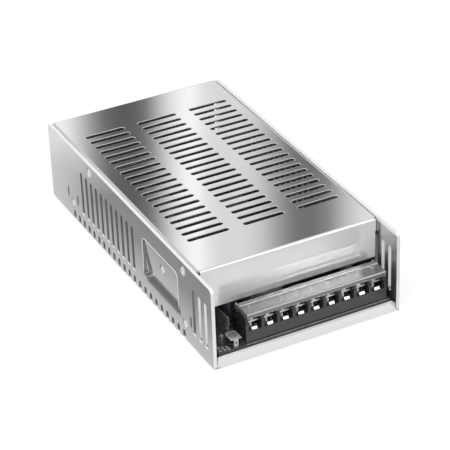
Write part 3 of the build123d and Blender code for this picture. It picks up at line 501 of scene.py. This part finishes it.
# Joins rings of points, either into a loop or into a bar with an end at each side
def skin(bm, rings, looped=False, flat_base=False):
    count = len(rings[0])
    for a, b in zip(rings, rings[1:] + rings[:1] if looped else rings[1:]):
        for side in range(count):
            after = (side + 1) % count
            face = bm.faces.new((a[side], a[after], b[after], b[side]))
            face.smooth = not (flat_base and after == 0)
    if not looped:
        bm.faces.new(rings[0])
        bm.faces.new(rings[-1][::-1])


# Row of tinned lumps along the front edge of the board
SOLDER_SPAN = (-36.0 * MM, 51.0 * MM)
SOLDER_PITCH = 1.9 * MM
SOLDER_HEIGHT = 0.30 * MM
SOLDER_SINK = 0.01 * MM
SOLDER_STEPS = 8
SOLDER_ARC = 6


def solder_row():
    block_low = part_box("terminal_block")[0]
    board_low, board_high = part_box("circuit_board")
    front, back = board_low.y + 0.06 * MM, block_low.y - 0.1 * MM
    middle, half = (front + back) / 2, (back - front) / 2
    start, end = SOLDER_SPAN
    count = int((end - start) / SOLDER_PITCH) * SOLDER_STEPS
    bm = bmesh.new()
    rings = []
    for i in range(count + 1):
        x = start + (end - start) * i / count
        swell = 0.12 + 0.88 * abs(math.sin(math.pi * i / SOLDER_STEPS))
        if i in (0, count):
            swell = 0.02
        ring = []
        for j in range(SOLDER_ARC + 1):
            angle = math.pi * j / SOLDER_ARC
            y = middle - math.cos(angle) * half * (0.6 + 0.4 * swell)
            z = board_high.z + math.sin(angle) * SOLDER_HEIGHT * swell - SOLDER_SINK
            ring.append(bm.verts.new((x, y, z)))
        rings.append(ring)
    skin(bm, rings, flat_base=True)
    add_piece("solder_row", mesh_from("solder_row", bm), "dark_tin", "housing")


solder_row()


# Rolled lip along a punched slot: a rounded bead that follows part of the slot's outline
LIP_SIDES = 10
ARC_STEPS = 12
VENT_WIDTH = 3.0 * MM
LID_VENT = 25.2 * MM
LID_VENT_ROWS, LID_VENT_COUNT = 3, 20
LID_VENT_PITCHES = (34.2 * MM, 7.09 * MM)
LID_VENT_SHIFT = (1.4 * MM, 1.15 * MM)
WALL_VENT = 28.8 * MM
WALL_VENT_FOOT = 10.9 * MM
WALL_VENT_PITCH = 7.0 * MM
REAR_VENT, REAR_VENTS = 47.5 * MM, 11
FRONT_VENT, FRONT_VENTS = 7.2 * MM, 3


# Points along the outline, each with its outward direction; a straight side lies at 90 degrees
def slot_outline(length, outset, first, last):
    radius = VENT_WIDTH / 2 + outset
    reach = length / 2 - VENT_WIDTH / 2
    steps = round((last - first) / 180 * ARC_STEPS)
    points = []
    for step in range(steps + 1):
        degrees = first + (last - first) * step / steps
        angle = math.radians(degrees)
        out = (math.cos(angle), math.sin(angle))
        ends = (1, -1) if abs(degrees - 90) < 0.01 else ((1,) if out[0] > 0 else (-1,))
        points += [(end * reach + out[0] * radius, out[1] * radius, out) for end in ends]
    return points


def slot_lip(bm, to_world, outline, across, deep, drop):
    rings = []
    for index, (along, beside, out) in enumerate(outline):
        taper = min(1.0, 0.15 + 0.3 * min(index, len(outline) - 1 - index))
        ring = []
        for side in range(LIP_SIDES):
            angle = 2 * math.pi * side / LIP_SIDES
            reach, lift = math.cos(angle) * across * taper, math.sin(angle) * deep * taper
            local = (along + out[0] * reach, beside + out[1] * reach, lift - drop * taper)
            ring.append(bm.verts.new(to_world @ Vector(local)))
        rings.append(ring)
    skin(bm, rings)


def centred_row(count, pitch, middle):
    return [middle + (i - (count - 1) / 2) * pitch for i in range(count)]


def lid_vent_lips():
    lid_low, lid_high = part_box("lid")
    middle = (lid_low.y + lid_high.y) / 2 + LID_VENT_SHIFT[1]
    outline = slot_outline(LID_VENT, 0.32 * MM, -60, 195)
    bm = bmesh.new()
    for x in centred_row(LID_VENT_ROWS, LID_VENT_PITCHES[0], LID_VENT_SHIFT[0]):
        for y in centred_row(LID_VENT_COUNT, LID_VENT_PITCHES[1], middle):
            place = Matrix.Translation((x, y, lid_high.z))
            slot_lip(bm, place, outline, 0.36 * MM, 0.42 * MM, 0.34 * MM)
    add_piece("lid_vent_lips", mesh_from("lid_vent_lips", bm), "rolled_edge", "housing")


def wall_vent_lips():
    case_low, case_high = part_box("case")
    outline = slot_outline(WALL_VENT, 0.10 * MM, -80, 80)
    rows = [case_high.y - REAR_VENT - i * WALL_VENT_PITCH for i in range(REAR_VENTS)]
    rows += [case_low.y + FRONT_VENT + i * WALL_VENT_PITCH for i in range(FRONT_VENTS)]
    down = Matrix.Rotation(math.radians(90), 4, "Y")
    bm = bmesh.new()
    for side, turn in ((-1, HALF_TURN @ down), (1, down)):
        for y in rows:
            place = Matrix.Translation((side * case_high.x, y, WALL_VENT_FOOT + WALL_VENT / 2))
            slot_lip(bm, place @ turn, outline, 0.62 * MM, 0.50 * MM, 0.30 * MM)
    add_piece("wall_vent_lips", mesh_from("wall_vent_lips", bm), "bright_tin", "housing")


lid_vent_lips()
wall_vent_lips()


# Rounded edge where the sheet turns into the dished recess: up one side, over and down again
RECESS_HALF_LONG, RECESS_HALF_TALL = 22.2 * MM, 13.5 * MM
RECESS_RADIUS = 3.5 * MM
RECESS_BEHIND_FRONT, RECESS_MIDDLE = 62.3 * MM, 26.5 * MM
OUTLINE_TO_WALL = Matrix(((0, 0, 1, 0), (1, 0, 0, 0), (0, 1, 0, 0), (0, 0, 0, 1)))


def recess_rims():
    case_low, case_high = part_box("case")
    inner_long, inner_tall = RECESS_HALF_LONG - RECESS_RADIUS, RECESS_HALF_TALL - RECESS_RADIUS
    rise = [step * MM - inner_tall for step in range(4)]
    outline = [(RECESS_HALF_LONG, z, (1, 0)) for z in rise]
    for side, start in ((1, 0), (-1, 90)):
        for step in range(7):
            angle = math.radians(start + 15 * step)
            out = (math.cos(angle), math.sin(angle))
            outline.append((side * inner_long + out[0] * RECESS_RADIUS,
                            inner_tall + out[1] * RECESS_RADIUS, out))
    outline += [(-RECESS_HALF_LONG, z, (-1, 0)) for z in rise[::-1]]
    bm = bmesh.new()
    for side, turn in ((-1, HALF_TURN @ OUTLINE_TO_WALL), (1, OUTLINE_TO_WALL)):
        place = Matrix.Translation(
            (side * case_high.x, case_low.y + RECESS_BEHIND_FRONT, RECESS_MIDDLE))
        slot_lip(bm, place @ turn, outline, 0.32 * MM, 0.28 * MM, 0.12 * MM)
    add_piece("recess_rims", mesh_from("recess_rims", bm), "bright_tin", "housing")


recess_rims()


# Boxes of a mesh's separate solids
def islands(mesh):
    bm = bmesh.new()
    bm.from_mesh(mesh)
    left = set(bm.verts)
    boxes = []
    while left:
        stack = [left.pop()]
        members = list(stack)
        while stack:
            for edge in stack.pop().link_edges:
                for vert in edge.verts:
                    if vert in left:
                        left.discard(vert)
                        stack.append(vert)
                        members.append(vert)
        lows = [min(v.co[i] for v in members) for i in range(3)]
        highs = [max(v.co[i] for v in members) for i in range(3)]
        boxes.append((Vector(lows), Vector(highs)))
    bm.free()
    return boxes


# Rounded rim round each sunk screw head, where the head's edge catches the light
RIM_WIDTH = 0.36 * MM
RIM_HEIGHT, RIM_SINK = 0.30, 0.06
RIM_STEPS, RIM_SIDES = 28, 8


def screw_rims():
    bm = bmesh.new()
    for wearer in ("lid_screws", "side_screws", "clamp_screws"):
        for low, high in islands(NODES[wearer].data):
            middle = (low + high) / 2
            side, outer = (1, high.x) if middle.x > 0 else (-1, low.x)
            radius = (high.z - low.z) / 2 - RIM_WIDTH
            rings = []
            for step in range(RIM_STEPS):
                angle = 2 * math.pi * step / RIM_STEPS
                ring = []
                for turn in range(RIM_SIDES):
                    swing = 2 * math.pi * turn / RIM_SIDES
                    reach = radius + math.cos(swing) * RIM_WIDTH
                    x = outer + side * (math.sin(swing) * RIM_HEIGHT - RIM_SINK) * MM
                    y = middle.y + math.cos(angle) * reach
                    z = middle.z + math.sin(angle) * reach
                    ring.append(bm.verts.new((x, y, z)))
                rings.append(ring)
            skin(bm, rings, looped=True)
    add_piece("screw_rims", mesh_from("screw_rims", bm), "bright_tin", "housing")


screw_rims()


# Raised tongue of each clamp plate, bent down to the front of its bay
BAY_COUNT = 9
PLATE_WIDTH = 6.9 * MM
TONGUE_HALF = 1.6 * MM
TONGUE_BEFORE, TONGUE_BELOW = 0.45 * MM, 0.75
TONGUE_PROFILE = [(0.02, 0.05), (0.10, 0.25), (0.90, 1.20), (1.15, 1.32), (2.1, 1.32), (2.1, 0.6),
                  (0.02, 0.0)]


def bay_centres():
    low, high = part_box("terminal_plates")
    pitch = (high.x - low.x - PLATE_WIDTH) / (BAY_COUNT - 1)
    return [low.x + PLATE_WIDTH / 2 + i * pitch for i in range(BAY_COUNT)]


def clamp_tongues():
    plates_low, plates_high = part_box("terminal_plates")
    front = plates_low.y - TONGUE_BEFORE
    bm = bmesh.new()
    for x in bay_centres():
        sides = []
        for shift in (-TONGUE_HALF, TONGUE_HALF):
            places = [(x + shift, front + y * MM, plates_high.z + (z - TONGUE_BELOW) * MM)
                      for y, z in TONGUE_PROFILE]
            sides.append([bm.verts.new(place) for place in places])
        for i in range(len(TONGUE_PROFILE)):
            j = (i + 1) % len(TONGUE_PROFILE)
            bm.faces.new((sides[0][i], sides[0][j], sides[1][j], sides[1][i]))
        bm.faces.new(sides[0])
        bm.faces.new(sides[1][::-1])
    add_piece("clamp_tongues", mesh_from("clamp_tongues", bm), "rolled_edge", "housing")


clamp_tongues()


# Plain numerals moulded on the clear cover, which is lower there than at its rib
NUMERAL_SIZE = 3.4 * MM
NUMERAL_HALF_DEPTH = 0.03 * MM
NUMERAL_BEHIND_FRONT = 6.4 * MM
RIB_HEIGHT = 0.6 * MM


def numeral(text, place):
    curve = bpy.data.curves.new("numeral_" + text, "FONT")
    curve.body = text
    curve.size = NUMERAL_SIZE
    curve.extrude = NUMERAL_HALF_DEPTH
    curve.align_x = "CENTER"
    curve.align_y = "CENTER"
    source = bpy.data.objects.new("numeral_source", curve)
    bpy.context.scene.collection.objects.link(source)
    bpy.context.view_layer.update()
    data = bpy.data.meshes.new_from_object(source)
    bpy.data.objects.remove(source)
    data.transform(Matrix.Translation(place))
    add_piece("numeral_" + text, data, "moulded_mark", "clear_cover")


def numerals():
    cover_low, cover_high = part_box("terminal_cover")
    y = cover_low.y + NUMERAL_BEHIND_FRONT
    z = cover_high.z - RIB_HEIGHT + NUMERAL_HALF_DEPTH
    for index, x in enumerate(bay_centres()):
        numeral(str(index + 1), (x, y, z))


numerals()


# Small chips on the board in the pocket beside the block: place in millimetres, and turn
CHIP_PLACES = [
    (-51.2, -103.2, 0), (-48.6, -103.4, 0), (-51.0, -100.6, 90), (-51.4, -97.6, 0),
    (-46.3, -103.4, 90), (-49.0, -101.2, 90), (-51.6, -95.0, 90), (-49.2, -93.2, 0),
    (-46.6, -101.4, 0), (-51.3, -91.6, 0),
]
CHIP_SIZE = (1.3 * MM, 1.1 * MM, 0.7 * MM)
CHIP_END_SIZE = (0.4 * MM, 1.15 * MM, 0.72 * MM)
CHIP_END_REACH = 0.8 * MM


def rounded_block(bm, centre, size, radius, turn):
    made = bmesh.ops.create_cube(bm, size=1.0)
    bmesh.ops.scale(bm, vec=size, verts=made["verts"])
    edges = list({e for v in made["verts"] for e in v.link_edges})
    bevelled = bmesh.ops.bevel(bm, geom=edges, offset=radius, segments=2, profile=0.7,
                               affect="EDGES")
    verts = list({v for f in bevelled["faces"] for v in f.verts})
    bmesh.ops.rotate(bm, cent=(0, 0, 0), matrix=Matrix.Rotation(turn, 3, "Z"), verts=verts)
    bmesh.ops.translate(bm, vec=centre, verts=verts)


def pocket_chips():
    board_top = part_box("circuit_board")[1].z
    bm = bmesh.new()
    ends = bmesh.new()
    for x, y, turn in CHIP_PLACES:
        angle = math.radians(turn)
        centre = Vector((x * MM, y * MM, board_top + CHIP_SIZE[2] / 2))
        rounded_block(bm, centre, CHIP_SIZE, 0.08 * MM, angle)
        centre.z = board_top + CHIP_END_SIZE[2] / 2
        toward = Vector((math.cos(angle), math.sin(angle), 0)) * CHIP_END_REACH
        for side in (-1, 1):
            rounded_block(ends, centre + side * toward, CHIP_END_SIZE, 0.1 * MM, angle)
    add_piece("pocket_chips", mesh_from("pocket_chips", bm), "ceramic", "housing")
    add_piece("pocket_chip_ends", mesh_from("pocket_chip_ends", ends), "tinned", "housing")


pocket_chips()


# Camera at the photograph's angle: turns in degrees, places in millimetres
CAMERA_AZIMUTH, CAMERA_ELEVATION, CAMERA_ROLL = -26.289, 31.057, -2.263
CAMERA_TARGET = Vector((0, 0, 26.0))
CAMERA_ACROSS, CAMERA_DOWN, CAMERA_DISTANCE = 5.231, 7.070, 1135.02
FOCAL_PIXELS, PICTURE_PIXELS = 1969.99, 450.0
SENSOR_WIDTH = 36.0


def camera():
    azimuth, elevation, roll = (
        math.radians(turn) for turn in (CAMERA_AZIMUTH, CAMERA_ELEVATION, CAMERA_ROLL))
    back = Vector((math.sin(azimuth) * math.cos(elevation),
                   -math.cos(azimuth) * math.cos(elevation), math.sin(elevation)))
    right = Vector((0, 0, 1)).cross(back).normalized()
    up = back.cross(right)
    across = right * math.cos(roll) + up * math.sin(roll)
    upward = up * math.cos(roll) - right * math.sin(roll)
    place = (CAMERA_TARGET + across * CAMERA_ACROSS - upward * CAMERA_DOWN
             + back * CAMERA_DISTANCE) * MM
    data = bpy.data.cameras.new("camera")
    data.sensor_width = SENSOR_WIDTH
    data.lens = SENSOR_WIDTH * FOCAL_PIXELS / PICTURE_PIXELS
    data.clip_start, data.clip_end = 0.05, 20.0
    made = bpy.data.objects.new("camera", data)
    bpy.context.scene.collection.objects.link(made)
    axes = Matrix((across, upward, back)).transposed().to_4x4()
    made.matrix_world = Matrix.Translation(place) @ axes
    bpy.context.scene.camera = made


camera()


# Studio: mirrored rays see bands of tone, by degrees of azimuth, that repeat all round
BANDS = [
    (9, 0.80), (14, 0.74), (18, 0.86), (20.6, 0.94), (21.2, 0.93), (21.6, 0.78), (22.07, 0.57),
    (22.5, 0.40), (22.95, 0.35), (23.3, 0.345), (23.72, 0.40), (23.95, 0.50), (24.4, 0.78),
    (24.65, 0.87), (25.0, 0.955), (25.4, 0.98), (25.7, 0.88), (26.2, 0.84), (26.9, 0.845),
    (27.5, 0.78), (28.06, 0.61), (28.6, 0.45), (29.2, 0.42), (29.8, 0.50), (30.4, 0.74),
    (31.0, 0.87), (33, 0.90), (38, 0.78), (45, 0.80),
]
BAND_PERIOD = 36.0
BAND_START = 9.0
WHOLE_TURNS = 20
OVERHEAD_TONE, OVERHEAD_FADE = 0.80, (0.72, 0.93)
SOFTBOX_TONE, SOFTBOX_FRONT, SOFTBOX_HEIGHT = 1.25, (0.12, 0.36), (0.56, 0.66)
BACKDROP_TONE, AMBIENT_TONE = 1.0, 0.66


def studio_world():
    world = bpy.data.worlds.new("studio")
    bpy.context.scene.world = world
    world.use_nodes = True
    world.cycles.sampling_method = "NONE"
    tree = world.node_tree
    tree.nodes.clear()
    toward = split_xyz(tree, node(tree, "ShaderNodeTexCoord").outputs["Generated"])
    angle = math_node(tree, "ARCTAN2", toward["X"], toward["Y"])
    turned = math_node(tree, "MULTIPLY", angle, math.degrees(1) / BAND_PERIOD)
    shifted = math_node(tree, "ADD", turned, WHOLE_TURNS - BAND_START / BAND_PERIOD)
    bands = ramp(tree, math_node(tree, "FRACT", shifted), [
        ((degrees - BAND_START) / BAND_PERIOD, lin(tone) / SHEET_TONE) for degrees, tone in BANDS])
    overhead = ease(tree, toward["Z"], *OVERHEAD_FADE)
    banded = blend(tree, "RGBA", overhead, bands, grey(OVERHEAD_TONE))
    front = ease(tree, math_node(tree, "MULTIPLY", toward["Y"], -1.0), *SOFTBOX_FRONT)
    softbox = all_of(tree, front, ease(tree, toward["Z"], *SOFTBOX_HEIGHT))
    mirrored = blend(tree, "RGBA", softbox, banded, grey(SOFTBOX_TONE))
    background = fill(tree, node(tree, "ShaderNodeBackground"), {
        "Color": by_ray(tree, mirrored, BACKDROP_TONE, AMBIENT_TONE)})
    fill(tree, node(tree, "ShaderNodeOutputWorld"), {"Surface": background.outputs[0]})


studio_world()


# Floor: pale, with painted shade and light that mirrored rays see, by the distance in metres
# beside, before and behind
FLOOR_HALF = 3.0
BESIDE_TONES = [(0.0575, 0.60), (0.063, 0.54), (0.070, 0.45), (0.080, 0.30), (0.100, 0.26),
                (0.17, 0.40)]
FRONT_TONES = [(0.1075, 0.84), (0.125, 0.95), (0.140, 1.15), (0.150, 0.92), (0.160, 0.6),
               (0.25, 0.55)]
REAR_TONES = [(0.1075, 0.40), (0.125, 0.52), (0.150, 0.62), (0.180, 0.56), (0.25, 0.66)]
BESIDE_REACH, END_REACH = 0.2, 0.3
BESIDE_FROM = 0.0575
FAR_TONE, FAR_FADE = 0.80, (0.09, 0.175)
UNDER_BESIDE, UNDER_BEFORE = 0.0555, 0.1055
FLOOR_SEEN, FLOOR_AMBIENT, FLOOR_MATT = 0.74, 0.30, 0.30


def tones_by_distance(tree, distance, reach, tones):
    stops = [(metres / reach, tone) for metres, tone in tones]
    return ramp(tree, math_node(tree, "DIVIDE", distance, reach), stops)


def floor_material():
    material = bpy.data.materials.new("floor")
    material.use_nodes = True
    tree = material.node_tree
    tree.nodes.clear()
    place = split_xyz(tree, node(tree, "ShaderNodeTexCoord").outputs["Object"])
    beside, before = absolute(tree, place["X"]), absolute(tree, place["Y"])
    # Painted reflection: dark bands beside the case and near its back, a bright band in front,
    # lighter far behind
    side = tones_by_distance(tree, beside, BESIDE_REACH, BESIDE_TONES)
    front = tones_by_distance(tree, before, END_REACH, FRONT_TONES)
    rear = tones_by_distance(tree, before, END_REACH, REAR_TONES)
    ends = blend(tree, "RGBA", above(tree, place["Y"], 0.0), front, rear)
    far = map_range(tree, place["Y"], *FAR_FADE)
    lighter = blend(tree, "RGBA", far, side, grey(FAR_TONE))
    mirrored = blend(tree, "RGBA", above(tree, beside, BESIDE_FROM), ends, lighter)
    # Painted shadow: the floor does not glow beneath the case
    painted_shadow_beneath = all_of(tree, below(tree, beside, UNDER_BESIDE), below(tree, before, UNDER_BEFORE))
    glow = fill(tree, node(tree, "ShaderNodeEmission"), {
        "Color": by_ray(tree, mirrored, FLOOR_SEEN, FLOOR_AMBIENT),
        "Strength": math_node(tree, "SUBTRACT", 1.0, painted_shadow_beneath)})
    glossy = node(tree, "ShaderNodeLightPath").outputs["Is Glossy Ray"]
    matt = fill(tree, node(tree, "ShaderNodeBsdfDiffuse"), {
        "Color": ramp(tree, glossy, [(0.0, FLOOR_MATT), (1.0, 0.0)])})
    both = fill(tree, node(tree, "ShaderNodeAddShader"), {0: matt.outputs[0], 1: glow.outputs[0]})
    fill(tree, node(tree, "ShaderNodeOutputMaterial"), {"Surface": both.outputs[0]})
    return material


def floor():
    bm = bmesh.new()
    corners = ((-1, -1), (1, -1), (1, 1), (-1, 1))
    bm.faces.new([bm.verts.new((x * FLOOR_HALF, y * FLOOR_HALF, 0.0)) for x, y in corners])
    made = bpy.data.objects.new("floor", mesh_from("floor", bm))
    bpy.context.scene.collection.objects.link(made)
    made.data.materials.append(floor_material())


floor()


# Lamps: place and target in metres, width in metres, power in watts
def area_light(name, place, target, size, power, mirrored=True):
    data = bpy.data.lights.new(name, "AREA")
    data.size = size
    data.energy = power
    made = bpy.data.objects.new(name, data)
    bpy.context.scene.collection.objects.link(made)
    made.location = place
    made.visible_glossy = mirrored
    made.rotation_mode = "QUATERNION"
    made.rotation_quaternion = (Vector(target) - Vector(place)).to_track_quat("-Z", "Y")


area_light("key", (-0.5, -0.7, 1.6), (0, 0, 0.02), 0.7, 12.0)
area_light("front", (0.847, -1.551, 1.120), (0.0187, -0.0879, 0.0345), 0.15, 1.5)
area_light("left", (-1.65, -0.95, 0.85), (0, 0, 0.03), 0.6, 9.0, mirrored=False)

bpy.context.scene.view_settings.view_transform = "Standard"
